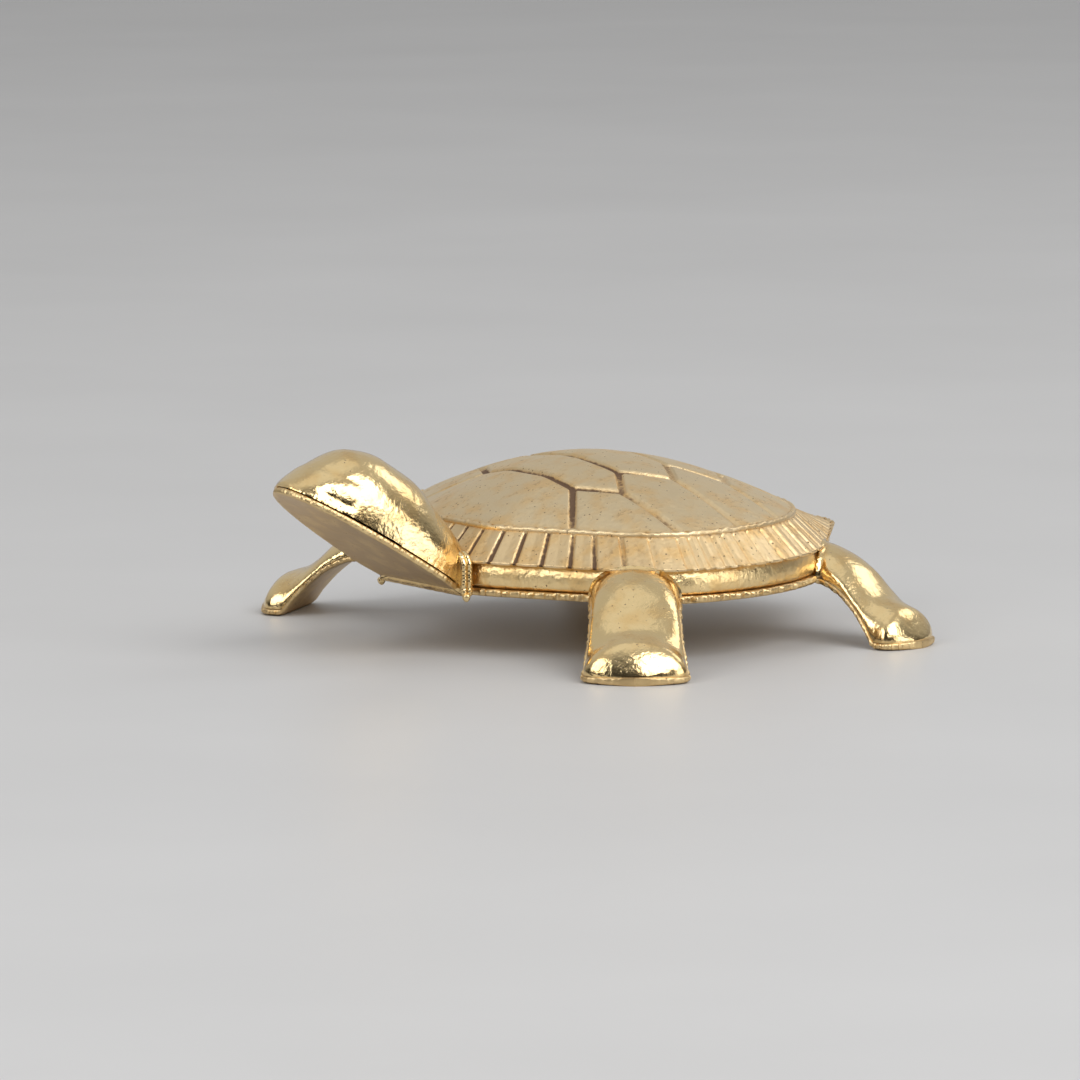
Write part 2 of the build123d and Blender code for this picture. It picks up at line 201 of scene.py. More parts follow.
class StageSizes(bpy.types.PropertyGroup):
    """Camera, floor and light."""

    camera_place: triple_prop(
        "Camera place", (0.57868, 0.8041, 0.1484), "Where the camera stands", "TRANSLATION")
    camera_target: triple_prop(
        "Camera target", (0.00150, -0.00124, 0.0127), "What the camera looks at", "TRANSLATION")
    lens: FloatProperty(
        name="Lens", description="Focal length on the sensor", default=250.0, unit="CAMERA")
    sensor: FloatProperty(
        name="Sensor", description="Width of the sensor", default=36.0, unit="CAMERA")
    floor_half: length_prop("Floor half", 4.0, "Half the width of the floor")
    floor_colour: triple_prop("Floor colour", (0.64, 0.636, 0.634), "Pale grey of the floor")
    sky_low: triple_prop("Low sky", (0.04, 0.038, 0.036), "Room light where it is dim")
    sky_high: triple_prop("High sky", (0.52, 0.52, 0.52), "Room light where it is bright")
    sky_axis: triple_prop(
        "Sky axis", (-0.30, -0.42, 0.86), "Where the room light is brightest", "DIRECTION")


def smoothstep(low, high, value):
    """0 below low, 1 above high, and 3t^2 - 2t^3 between them."""
    share = np.clip((value - low) / (high - low), 0, 1)
    return share * share * (3 - 2 * share)


def bell(value, width):
    """Bell curve exp(-(value / width)^2)."""
    return np.exp(-((value / width) ** 2))


def rounded_end(value, start, end):
    """1 up to the start, then down to 0 at the end as a quarter ellipse: sqrt(1 - t^2)."""
    share = np.clip((value - start) / (end - start), 0, 1)
    return np.sqrt(1 - share**2)


def ripple(turns, waves, seed):
    """Uneven edge, about -1 to 1: sines of these numbers of waves a turn, with phases drawn from a seed."""
    phases = np.random.default_rng(seed).uniform(0, 2 * pi, len(waves))
    return np.sin(2 * pi * turns[..., None] * np.array(waves) + phases).sum(-1) / len(waves) ** 0.5


def smooth_between(where, stations, values):
    """Monotone cubic through the stations: harmonic-mean slopes inside, level where the values turn."""
    steps = np.diff(stations)
    slopes = np.diff(values) / steps
    products = slopes[:-1] * slopes[1:]
    sums = np.where(products > 0, slopes[:-1] + slopes[1:], 1)
    inner = np.where(products > 0, 2 * products / sums, 0)
    grades = np.concatenate([slopes[:1], inner, slopes[-1:]])
    cell = np.clip(np.searchsorted(stations, where) - 1, 0, len(steps) - 1)
    share = (where - stations[cell]) / steps[cell]
    rest = 1 - share
    start = values[cell] * (1 + 2 * share) * rest**2 + grades[cell] * steps[cell] * share * rest**2
    end = values[cell + 1] * (1 + 2 * rest) * share**2 - grades[cell + 1] * steps[cell] * rest * share**2
    return start + end


def even_turns(count):
    """Evenly spaced turns from 0 up to 1 turn."""
    return np.linspace(0, 1, count, endpoint=False)


def resample_loop(path, count):
    """Evenly spaced points round a closed anticlockwise path, with their outward normals."""
    closed = np.concatenate([path, path[:1]])
    reach = np.concatenate([[0], np.cumsum(np.linalg.norm(np.diff(closed, axis=0), axis=1))])
    wanted = np.linspace(0, reach[-1], count, endpoint=False)
    points = np.stack([np.interp(wanted, reach, closed[:, axis]) for axis in (0, 1)], 1)
    along = np.roll(points, -1, axis=0) - np.roll(points, 1, axis=0)
    along /= np.linalg.norm(along, axis=1, keepdims=True)
    return points, np.stack([along[:, 1], -along[:, 0]], 1)


def rounded_loop(corners, radii, arc_steps=48):
    """Polygon with each corner an arc that touches both of its edges, as one closed anticlockwise path."""
    corners = np.array(corners)
    radii = np.array(radii)[:, None]
    before = corners - np.roll(corners, 1, axis=0)
    after = np.roll(corners, -1, axis=0) - corners
    before /= np.linalg.norm(before, axis=1, keepdims=True)
    after /= np.linalg.norm(after, axis=1, keepdims=True)
    turn = np.arccos(np.clip((before * after).sum(1, keepdims=True), -1, 1))
    inward = np.stack([-before[:, 1], before[:, 0]], 1)
    centres = corners - before * radii * np.tan(turn / 2) + inward * radii
    swing = (turn * np.linspace(0, 1, arc_steps))[..., None]
    arcs = before[:, None] * np.sin(swing) - inward[:, None] * np.cos(swing)
    return (centres[:, None] + radii[..., None] * arcs).reshape(-1, 2)


def inset_corners(corners, inset):
    """Corners of a polygon whose edges have all moved inwards: where each edge meets the one before it."""
    run = np.roll(corners, -1, axis=0) - corners
    normals = np.stack([run[:, 1], -run[:, 0]], 1) / np.linalg.norm(run, axis=1, keepdims=True)
    reach = (normals * corners).sum(1) - inset
    before, before_reach = np.roll(normals, 1, axis=0), np.roll(reach, 1)
    turn = before[:, 0] * normals[:, 1] - before[:, 1] * normals[:, 0]
    x = (before_reach * normals[:, 1] - reach * before[:, 1]) / turn
    y = (before[:, 0] * reach - normals[:, 0] * before_reach) / turn
    return np.stack([x, y], 1)


def shell_path(shell, inset, tail_radius):
    """The shell's seven-cornered outline from above, drawn in by an inset and rounded."""
    front = RING_HIGH.x
    half = RING_HIGH.y
    shoulder = front - shell.shoulder_setback
    hip = shoulder - shell.flank_length
    left = [(front, shell.neck_width / 2), (shoulder, half), (hip, half)]
    right = [(x, -y) for x, y in reversed(left)]
    corners = np.array(left + [(front - shell.length, 0)] + right)
    radii = [shell.neck_radius, shell.shoulder_radius, shell.hip_radius]
    radii = np.array(radii + [tail_radius] + radii[::-1]) - inset
    return rounded_loop(inset_corners(corners, inset), radii)


def shell_loop(shell, count):
    """The rim's outline as evenly spaced points and outward normals."""
    return resample_loop(shell_path(shell, 0.0, shell.tail_radius), count)


def spoke_lengths(shell, inset, tail_radius, turns, fine=6000):
    """Distance from the dome's centre to an outline, along spokes at these turns from straight ahead."""
    path, _ = resample_loop(shell_path(shell, inset, tail_radius), fine)
    spokes = path - dome_centre(shell)
    angles = np.arctan2(spokes[:, 1], spokes[:, 0]) / (2 * pi)
    order = np.argsort(angles)
    return np.interp(turns, angles[order], np.linalg.norm(spokes, axis=1)[order], period=1.0)


def spoke_places(shell, turns, reach):
    """Points from above at these turns round the dome's centre and distances from it."""
    heading = np.stack([np.cos(2 * pi * turns), np.sin(2 * pi * turns)], -1)
    return dome_centre(shell) + reach[..., None] * heading


def dome_centre(shell):
    """The point on the middle line under the dome's top."""
    return np.array((RING_HIGH.x - shell.dome_centre_share * shell.length, 0.0))


def outside_band(places, shell, count=360):
    """How far each place lies outside the band from above, along the nearest outline point's normal."""
    loop, normals = shell_loop(shell, count)
    loop = loop - normals * (RING_HIGH.y - BAND_HIGH.y)
    flat = places.reshape(-1, 2)
    gaps = ((flat[:, None] - loop) ** 2).sum(2)
    nearest = gaps.argmin(1)
    return ((flat - loop[nearest]) * normals[nearest]).sum(1).reshape(places.shape[:-1])


def raised(places, height):
    """Points from above with a height for each row or each point."""
    return np.concatenate([places, np.broadcast_to(height[..., None], places.shape[:-1] + (1,))], -1)


def grid_quads(rows, columns, close_rows, close_columns):
    """Four-cornered faces between neighbouring rows and columns, closed round either way if asked."""
    index = np.arange(rows * columns).reshape(rows, columns)
    if close_rows:
        index = np.concatenate([index, index[:1]], 0)
    if close_columns:
        index = np.concatenate([index, index[:, :1]], 1)
    return np.stack([index[:-1, :-1], index[:-1, 1:], index[1:, 1:], index[1:, :-1]], -1).reshape(-1, 4)


def faced(edge, middle, shares):
    """An edge's rows, with the first and the last row shrunk towards a middle by each of these shares."""
    shrink = np.array(shares)[:, None, None]
    first = middle + (edge[:1] - middle) * shrink
    last = middle + (edge[-1:] - middle) * shrink
    return np.concatenate([first[::-1], edge, last])


def capped(rows, tone_and_shade):
    """A grid closed at both ends by the middle of its end rows, with its marks of tone, patina and painted
    shade.
    """
    marks = np.broadcast_to(tone_and_shade, rows.shape[:2])
    first = np.broadcast_to(rows[:1].mean(1, keepdims=True), rows[:1].shape)
    last = np.broadcast_to(rows[-1:].mean(1, keepdims=True), rows[-1:].shape)
    return np.concatenate([first, rows, last]), np.concatenate([marks[:1], marks, marks[-1:]]), False, True


def make_piece(node, grids, finish, crease=radians(50.0), doubled=1e-7):
    """One outward-facing mesh from grids of (points, marks of tone, patina and painted shade, close rows,
    close columns).
    """
    points, marks, quads = [], [], []
    start = 0
    for grid, tone_and_shade, close_rows, close_columns in grids:
        rows, columns = grid.shape[:2]
        points.append(grid.reshape(-1, 3))
        marks.append(np.broadcast_to(tone_and_shade, (rows, columns)).reshape(-1))
        quads.append(grid_quads(rows, columns, close_rows, close_columns) + start)
        start += rows * columns
    name = node + "_skin"
    mesh = bpy.data.meshes.new(name)
    mesh.from_pydata(np.concatenate(points), [], np.concatenate(quads))
    attribute = mesh.attributes.new("tone_and_shade", "FLOAT", "POINT")
    attribute.data.foreach_set("value", np.concatenate(marks).astype(np.float32))
    work = bmesh.new()
    work.from_mesh(mesh)
    bmesh.ops.remove_doubles(work, verts=work.verts, dist=doubled)
    bmesh.ops.dissolve_degenerate(work, edges=work.edges, dist=doubled)
    bmesh.ops.recalc_face_normals(work, faces=work.faces)
    work.to_mesh(mesh)
    work.free()
    mesh.polygons.foreach_set("use_smooth", np.ones(len(mesh.polygons), bool))
    mesh.set_sharp_from_angle(angle=crease)
    mesh.materials.append(gilt_material(finish))
    piece = bpy.data.objects.new(name, mesh)
    bpy.context.scene.collection.objects.link(piece)
    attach(piece, "root")
    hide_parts(node)


def add_node(tree, kind, inputs=None, **settings):
    """A shader node with its settings, its input values and the links into it."""
    made = tree.nodes.new(kind)
    for key, value in settings.items():
        setattr(made, key, value)
    for key, value in (inputs or {}).items():
        if isinstance(value, bpy.types.NodeSocket):
            tree.links.new(value, made.inputs[key])
        else:
            made.inputs[key].default_value = value
    return made


def math_node(tree, operation, *values, clamp=False):
    """Output of one Math node."""
    inputs = dict(enumerate(values))
    return add_node(tree, "ShaderNodeMath", inputs, operation=operation, use_clamp=clamp).outputs[0]


def noise_node(tree, place, scale, detail):
    """Value of a noise with this many waves a metre and this many finer layers."""
    inputs = {"Vector": place, "Scale": scale, "Detail": detail}
    return add_node(tree, "ShaderNodeTexNoise", inputs).outputs["Fac"]


def blend_node(tree, factor, first, second):
    """Colour that goes from the first to the second with the factor."""
    inputs = {0: factor, 6: first, 7: second}
    return add_node(tree, "ShaderNodeMix", inputs, data_type="RGBA").outputs[2]


def ramp_node(tree, value, low, high):
    """0 below low and 1 above high, smooth between them."""
    inputs = {"Value": value, "From Min": low, "From Max": high}
    return add_node(tree, "ShaderNodeMapRange", inputs, interpolation_type="SMOOTHSTEP").outputs["Result"]


def group_node(tree, name, fill, labels, inputs):
    """Outputs of the node group of this name, which is made and filled the first time."""
    if name not in bpy.data.node_groups:
        group = bpy.data.node_groups.new(name, "ShaderNodeTree")
        for label in inputs:
            kind = "NodeSocketVector" if label == "Vector" else "NodeSocketFloat"
            group.interface.new_socket(label, in_out="INPUT", socket_type=kind)
        for label in labels:
            group.interface.new_socket(label, in_out="OUTPUT", socket_type="NodeSocketFloat")
        results = fill(group, group.nodes.new("NodeGroupInput").outputs)
        ends = group.nodes.new("NodeGroupOutput").inputs
        for label, value in zip(labels, results):
            group.links.new(value, ends[label])
    return add_node(tree, "ShaderNodeGroup", inputs, node_tree=bpy.data.node_groups[name]).outputs


def patina_and_shade_group(group, given):
    """Brown patina and painted shade: the mark times the amount, broken up by two sizes of noise."""
    broad = noise_node(group, given["Vector"], 190.0, 3.0)
    fine = noise_node(group, given["Vector"], 1500.0, 3.0)
    broken = math_node(group, "MULTIPLY_ADD", fine, 0.8, broad)
    dark_patina_and_shade = math_node(group, "MULTIPLY", given["Seam"], given["Amount"])
    dark = math_node(group, "MULTIPLY", dark_patina_and_shade, broken)
    return (ramp_node(group, dark, 0.50, 0.98),)


def pits_group(group, given):
    """Scattered dark pits: small discs at the points of a cell pattern, kept in a share of the cells."""
    inputs = {"Vector": given["Vector"], "Scale": given["Scale"]}
    cells = add_node(group, "ShaderNodeTexVoronoi", inputs).outputs
    parts = add_node(group, "ShaderNodeSeparateColor", {"Color": cells["Color"]}).outputs
    drift = math_node(group, "MULTIPLY", noise_node(group, given["Vector"], 120.0, 3.0), 2.0)
    kept = math_node(group, "LESS_THAN", parts["Red"], math_node(group, "MULTIPLY", given["Share"], drift))
    radius = math_node(group, "MULTIPLY", parts["Green"], 0.36)
    disc = ramp_node(group, math_node(group, "SUBTRACT", radius, cells["Distance"]), 0.0, 0.12)
    return (math_node(group, "MULTIPLY", kept, disc),)


def wear_group(group, given):
    """Uneven hand polish: soft clouds, fine grain, and scratches from noise drawn out along two ways."""
    lines = []
    for turn, stretch in ((0.5, (60.0, 2600.0, 900.0)), (-0.9, (1900.0, 45.0, 900.0))):
        inputs = {"Vector": given["Vector"], "Rotation": (0.0, 0.2, turn), "Scale": stretch}
        drawn = add_node(group, "ShaderNodeMapping", inputs).outputs["Vector"]
        lines.append(ramp_node(group, noise_node(group, drawn, 1.0, 1.0), 0.60, 0.75))
    clouds = noise_node(group, given["Vector"], 300.0, 3.0)
    grain = noise_node(group, given["Vector"], 1300.0, 4.0)
    return clouds, grain, math_node(group, "MAXIMUM", *lines)


def gilt_material(name):
    """Gilt metal: cloudy colour, brown in the seams and pits and as painted shade in creases and crevices,
    rougher where brown, finely scratched.
    """
    if name in bpy.data.materials:
        return bpy.data.materials[name]
    _, main, warm, rough, tarnish_and_shade, pit_share, pit_scale, grain = FINISHES[name]
    colours = bpy.context.scene.turtle_colours
    main, warm, dark = ((*getattr(colours, tone), 1.0) for tone in (main, warm, "tarnish_and_shade"))
    material = bpy.data.materials.new(name)
    material.use_nodes = True
    tree = material.node_tree
    shader = tree.nodes["Principled BSDF"].inputs
    place = add_node(tree, "ShaderNodeTexCoord").outputs["Object"]
    tone_and_shade = add_node(tree, "ShaderNodeAttribute", attribute_name="tone_and_shade").outputs["Fac"]
    worn = group_node(tree, "Hand polish", wear_group, ("Clouds", "Grain", "Scratches"), {"Vector": place})
    inputs = {"Vector": place, "Seam": tone_and_shade, "Amount": tarnish_and_shade}
    dark_patina_and_shade = group_node(tree, "Patina and painted shade", patina_and_shade_group, ("Mask",), inputs)["Mask"]
    inputs = {"Vector": place, "Scale": pit_scale, "Share": pit_share}
    pits = group_node(tree, "Casting pits", pits_group, ("Mask",), inputs)["Mask"]

    patches = math_node(tree, "MULTIPLY", ramp_node(tree, worn["Clouds"], 0.44, 0.66), 1.5 * pit_share)
    specks = math_node(tree, "MULTIPLY", ramp_node(tree, worn["Grain"], 0.52, 0.72), patches)
    brown = math_node(tree, "MAXIMUM", dark_patina_and_shade, math_node(tree, "MULTIPLY", pits, 0.8))
    brown = math_node(tree, "MAXIMUM", brown, specks, clamp=True)
    warmth = math_node(tree, "MULTIPLY", ramp_node(tree, worn["Clouds"], 0.42, 0.72), 0.45)
    warmth = math_node(tree, "MULTIPLY_ADD", tone_and_shade, 0.5, warmth, clamp=True)
    colour = blend_node(tree, warmth, main, warm)
    tree.links.new(blend_node(tree, brown, colour, dark), shader["Base Color"])

    spread = math_node(tree, "MULTIPLY_ADD", worn["Clouds"], 0.16, rough - 0.08)
    spread = math_node(tree, "MULTIPLY_ADD", worn["Scratches"], 0.05, spread)
    tree.links.new(math_node(tree, "MULTIPLY_ADD", brown, 0.35, spread, clamp=True), shader["Roughness"])
    tree.links.new(math_node(tree, "MULTIPLY_ADD", brown, -0.6, 1.0), shader["Metallic"])

    height = math_node(tree, "MULTIPLY_ADD", worn["Scratches"], -0.08, worn["Clouds"])
    height = math_node(tree, "ADD", worn["Grain"], height)
    height = math_node(tree, "MULTIPLY_ADD", pits, -0.8, height)
    bump = add_node(tree, "ShaderNodeBump", {"Height": height, "Strength": 1.0, "Distance": grain})
    tree.links.new(bump.outputs["Normal"], shader["Normal"])
    return material


class TURTLE_OT_carapace_dome(bpy.types.Operator):
    """Build the domed back with its scute seams"""

    bl_idname = "turtle.carapace_dome"
    bl_label = "Carapace dome"

    hem_insets = np.array((0.0002, 0.0012))[:, None]
    hem_drop = 0.0006
    wall = 0.0018
    front_fade = (-0.022, 0.004)
    outer_fade = (0.011, 0.019)
    foot_line = 0.0005

    def seam_gap(self, shell, places):
        """Distance from each place to the nearest of the scute seams, on either side of the middle line."""
        scale = np.array((-shell.length, RING_HIGH.y))
        origin = np.array((RING_HIGH.x, 0.0))
        middle = origin + scale * np.array(SCUTE_MIDDLE_SHARES)
        edges = origin + scale * np.array(SCUTE_EDGE_SHARES)
        starts = [*middle[:-1], *middle[0::2], middle[0], *middle[1::2], middle[-1]]
        ends = [*middle[1:], *(middle[0::2] * (1, 0)), *edges]
        folded = np.stack([places[..., 0], np.abs(places[..., 1])], -1)
        gap = np.full(places.shape[:-1], np.inf)
        for start, end in zip(starts, ends):
            run = end - start
            share = np.clip(((folded - start) @ run) / (run @ run), 0, 1)
            gap = np.minimum(gap, np.linalg.norm(folded - start - share[..., None] * run, axis=-1))
        return gap

    def execute(self, context):
        """Height rises by 1 - k^p over outlines that shrink by k, less a trench near the scute seams."""
        shell = context.scene.turtle_shell
        turns = np.linspace(-0.5, 0.5, 700, endpoint=False)
        foot = spoke_lengths(shell, RING_HIGH.y - DOME_HIGH.y, shell.crown_tail_radius, turns)
        share = np.linspace(0, 1, 126)[:, None] ** 0.8
        places = spoke_places(shell, turns, share * foot)
        gap = self.seam_gap(shell, places)
        edge_gap = (1 - share) * foot
        half = shell.seam_width / 2
        trench = 1 - smoothstep(0.45 * half, 1.25 * half, gap)
        pillow = np.exp(-np.minimum(gap, edge_gap) / (2.2 * half))
        height = RING_HIGH.z + shell.dome_rise * (1 - share**shell.dome_power)
        rows = raised(places, height - shell.seam_depth * (trench + 0.30 * pillow))
        hem = spoke_places(shell, turns, foot - self.hem_insets)
        hem = raised(hem, np.array(RING_HIGH.z - self.hem_drop))
        under = rows[::-12] - np.array((0, 0, self.wall))
        grid = np.concatenate([rows, hem, under[1:]])
        front = smoothstep(*self.front_fade, places[..., 0])
        outer = smoothstep(*self.outer_fade, np.abs(places[..., 1]))
        dark = (0.55 + 0.65 * front) * (1 - 0.38 * outer)
        # Painted shade: the hem and the hidden underside tucked under the skirt's bead are marked fully dark
        # brown; the top rows carry the scute seam patina and a faint line at the dome's foot.
        tone_and_shade = np.ones(grid.shape[:2])
        tone_and_shade[: len(rows)] = np.maximum(trench * dark, 0.5 * bell(edge_gap, self.foot_line))
        make_piece("carapace_dome", [(grid, tone_and_shade, False, True)], "Satin gilt")
        return {"FINISHED"}


class TURTLE_OT_marginal_ring(bpy.types.Operator):
    """Build the ribbed skirt with its bead and scalloped lip"""

    bl_idname = "turtle.marginal_ring"
    bl_label = "Marginal ring"

    # Lip from inside to outside: insets, heights, and shares of the groove and of the scallop
    lip_insets = (0.0020, 0.0007, 0.0003, 0.00008, 0.00002, 0.00008)
    lip_heights = (0.00012, 0.00005, 0.00002, 0.00012, 0.00030, 0.00045)
    lip_groove_shares = (0, 0, 0.3, 0.8, 0.9, 0.9)
    lip_scallop_shares = (0, 0.3, 1.0, 1.0, 0.6, 0.3)
    scallop_inset = 0.0002
    scallop_rise = 0.00035

    # Bead at the ridge, the two points behind it and the inside of the skirt
    bead_inset = 0.00025
    bead_radius = 0.00042
    bead_wave = 0.00007
    back_insets = np.array((0.0022, 0.0016))
    back_rises = np.array((0.0001, -0.0004))
    wall_inset = 0.0016
    wall_drop = 0.0009

    # Where brown wear gathers: the two ends along the body, and a rubbed patch by its turn
    front_fade = (0.002, 0.014)
    tail_fade = (-0.034, -0.026)
    rubbed_turn_share = 0.37
    rubbed_width_share = 0.07

    def execute(self, context):
        """A closed profile of run and height from rim to crown, pressed in along the grooves."""
        shell = context.scene.turtle_shell
        turns = np.linspace(-0.5, 0.5, 1250, endpoint=False)
        base, top = RING_LOW.z, RING_HIGH.z
        run = RING_HIGH.y - DOME_HIGH.y - shell.bead_width
        rise = top - shell.bead_width - base
        rim = spoke_lengths(shell, 0.0, shell.tail_radius, turns)
        crown = spoke_lengths(shell, run, shell.crown_tail_radius, turns)
        slope = np.linspace(0.06, 0.93, 20)
        swing = np.linspace(radians(215), radians(0), 12)
        inner = slope[::-4]
        hidden = np.zeros(len(self.back_insets) + len(inner))

        inset = np.concatenate([
            self.lip_insets, slope * run, run + self.bead_inset + self.bead_radius * np.cos(swing),
            run + self.back_insets, inner * run + self.wall_inset,
        ])
        bead_top = rise + shell.bead_width - self.bead_radius
        height = np.concatenate([
            self.lip_heights, slope * rise, bead_top + self.bead_radius * np.sin(swing),
            rise + self.back_rises, inner * rise - self.wall_drop,
        ])
        height = np.maximum(height + base, base)
        bead = np.concatenate([np.zeros(26), np.sin(swing).clip(0), hidden])[:, None]
        wave = self.bead_wave * bead * ripple(turns, (43, 71, 97, 131), 8)
        pressed = [self.lip_groove_shares, np.linspace(1, 0.9, 20), np.full(12, 0.10), hidden]
        pressed = np.concatenate(pressed)[:, None]
        scallop = np.concatenate([self.lip_scallop_shares, np.zeros(32), hidden])[:, None]

        pads = np.interp(2 * np.abs(turns), RIB_TURN_SHARES, np.arange(len(RIB_TURN_SHARES)))
        off = np.abs(pads - np.round(pads))
        nearest = RIB_TURN_SHARES[np.round(pads).astype(int)]
        half = shell.rib_gap_width / 2
        groove = 1 - smoothstep(0.35 * half, 1.5 * half, np.abs(2 * np.abs(turns) - nearest) * pi * rim)
        pillow = 0.35 * (1 - 4 * off**2)
        pull = pressed * shell.rib_gap_depth * (groove - pillow + 0.35)
        tilt = np.hypot(run, rise)
        turned_in = inset[:, None] + pull * rise / tilt + self.scallop_inset * scallop * groove
        across = np.minimum(turned_in / run, 1)
        places = spoke_places(shell, turns, rim + (crown - rim) * across - np.maximum(turned_in - run, 0))
        lifted = height[:, None] - pull * run / tilt + self.scallop_rise * scallop * groove
        grid = raised(places, np.maximum(lifted + wave - self.bead_wave, base))

        # Painted shade: the mark rises in the crevice at the bead's foot and behind the bead, and is full on
        # the hidden back and inside of the skirt; the even 0.50 on lip and slope warms the pads.
        crevice = np.concatenate([
            np.full(24, 0.50), (0.55, 0.6, 0.7, 0.4), np.full(6, 0.28), (0.3, 0.5, 0.8, 0.9), hidden + 1,
        ])
        front = smoothstep(*self.front_fade, places[..., 0])
        ends = np.maximum(front, 1 - smoothstep(*self.tail_fade, places[..., 0]))
        rubbed = 0.66 * bell(2 * np.abs(turns) - self.rubbed_turn_share, self.rubbed_width_share)
        worn = np.maximum(groove * (0.55 + 0.75 * ends), rubbed) * pressed
        tone_and_shade = np.maximum(worn, crevice[:, None])
        make_piece("marginal_ring", [(grid, tone_and_shade, True, True)], "Satin gilt")
        return {"FINISHED"}


class TURTLE_OT_side_band(bpy.types.Operator):
    """Build the polished upright band"""

    bl_idname = "turtle.side_band"
    bl_label = "Side band"

    clearance = 0.00008
    bow = 0.00028
    foot_roll = 0.0003
    lean = 0.00025
    wall = 0.0009
    waviness = 0.00004

    def execute(self, context):
        """A closed profile, bowed a little outwards and rolled in at the foot, carried round the outline."""
        loop, normals = shell_loop(context.scene.turtle_shell, 700)
        rise = np.linspace(0, 1, 22)
        overhang = RING_HIGH.y - BAND_HIGH.y
        inset = self.bow * (2 * rise - 1) ** 2 + self.foot_roll * bell(rise, 0.07) + self.lean * rise**2
        inset = overhang + np.concatenate([inset, (self.wall, self.wall)])
        height = BAND_LOW.z + rise * (BAND_HIGH.z - BAND_LOW.z)
        height = np.concatenate([height, (BAND_HIGH.z, BAND_LOW.z)])
        wave = self.waviness * ripple(even_turns(len(loop)), (9, 14, 23, 31), 5)
        places = loop - (inset[:, None] + self.clearance + wave)[..., None] * normals
        # Painted shade: the band is marked darker at its foot by the plate, at its top under the skirt's
        # overhang, and fully on its hidden inner wall; the even 0.2 warms it.
        tone_and_shade = 0.2 + 0.7 * bell(rise, 0.06) + 0.4 * bell(1 - rise, 0.06)
        tone_and_shade = np.concatenate([tone_and_shade, (1, 1)])[:, None]
        grid = raised(places, height[:, None])
        make_piece("side_band", [(grid, tone_and_shade, True, True)], "Band gilt")
        return {"FINISHED"}


def plate_under(limbs):
    """Height of the belly plate's lower face."""
    return limbs.root_height * LEG_BASE_SHARES[0]


def leg_sizes(limbs):
    """Axis, as setback, offset and heading, and length and width of a front and a rear leg."""
    front = (limbs.front_setback, limbs.front_offset, limbs.front_heading)
    rear = (limbs.rear_setback, limbs.rear_offset, limbs.rear_heading)
    return (front, limbs.front_length, limbs.front_width), (rear, limbs.rear_length, limbs.rear_width)


def leg_stations(end, count):
    """Shares along a leg from its root to an end, closer together towards the toe."""
    return LEG_ALONG_SHARES[0] + (end - LEG_ALONG_SHARES[0]) * np.sin(np.linspace(0, pi / 2, count))


def leg_places(axis, side, along, across, up):
    """Points from distances along and across a leg's axis and heights over the floor."""
    setback, offset, heading = axis
    x = RING_HIGH.x - setback + along * np.cos(heading) - across * np.sin(heading)
    y = offset + along * np.sin(heading) + across * np.cos(heading)
    return np.stack(np.broadcast_arrays(x, side * y, up), -1)


class TURTLE_OT_belly_plate(bpy.types.Operator):
    """Build the belly plate with its rough edge and the tongues under the legs"""

    bl_idname = "turtle.belly_plate"
    bl_label = "Belly plate"

    proud = 0.0003
    cut_inset = 0.0002
    cut_round = 0.00035
    face_clearance = 0.00006
    tongue_clearance = 0.00012
    tongue_roughness = 0.00010

    def plate(self, shell, under):
        """The outline with a knurled edge profile, shrunk to its middle above and below."""
        loop, normals = shell_loop(shell, 900)
        thick = PLATE_HIGH.z - under
        knurl = shell.knurl_depth * ripple(even_turns(len(loop)), (67, 118, 171, 233, 12), 2)
        swing = np.linspace(-pi / 2, pi / 2, 11)
        bulge = np.cos(swing)[:, None]
        inset = RING_HIGH.y - BAND_HIGH.y - self.proud + self.cut_inset
        inset = inset + self.cut_round * (1 - bulge) - knurl * bulge
        height = under + thick / 2 + (thick / 2 - self.face_clearance) * np.sin(swing)
        plan = faced(loop - inset[..., None] * normals, dome_centre(shell), (0.97, 0.6, 0.3))
        level = np.pad(height, 3, mode="edge")
        tone_and_shade = np.pad(np.cos(swing), 3)
        return capped(raised(plan, level[:, None]), tone_and_shade[:, None])

    def tongue(self, limbs, under, side, axis, length, width):
        """A flat rounded section carried down under the leg along the leg's stations, with a rough edge."""
        along = leg_stations(1, 120)
        half = smooth_between(along, LEG_ALONG_SHARES, LEG_HALF_SHARES) * width / 2
        half = half * rounded_end(along, TOE_PLAN_SHARE, 1.0)
        base = smooth_between(along, LEG_ALONG_SHARES, LEG_BASE_SHARES) * limbs.root_height
        swing = 2 * pi * even_turns(28)
        rough = self.tongue_roughness * ripple(along, (23, 41, 59, 83), 7)
        across = np.sign(np.cos(swing)) * np.abs(np.cos(swing)) ** 0.35
        up = np.sign(np.sin(swing)) * np.abs(np.sin(swing)) ** 0.55
        wide = np.maximum(half - self.tongue_clearance + rough, 0)[:, None] * across
        high = base[:, None] + (PLATE_HIGH.z - under) / 2 * (1 + up)
        rows = leg_places(axis, side, along[:, None] * length, wide, high)
        return capped(rows, 0.8 * np.abs(across) ** 6)

    def execute(self, context):
        """The plate and its four tongues as one piece."""
        limbs = context.scene.turtle_limbs
        under = plate_under(limbs)
        grids = [self.plate(context.scene.turtle_shell, under)]
        for side in (1, -1):
            for leg in leg_sizes(limbs):
                grids.append(self.tongue(limbs, under, side, *leg))
        make_piece("belly_plate", grids, "Brushed gilt")
        return {"FINISHED"}


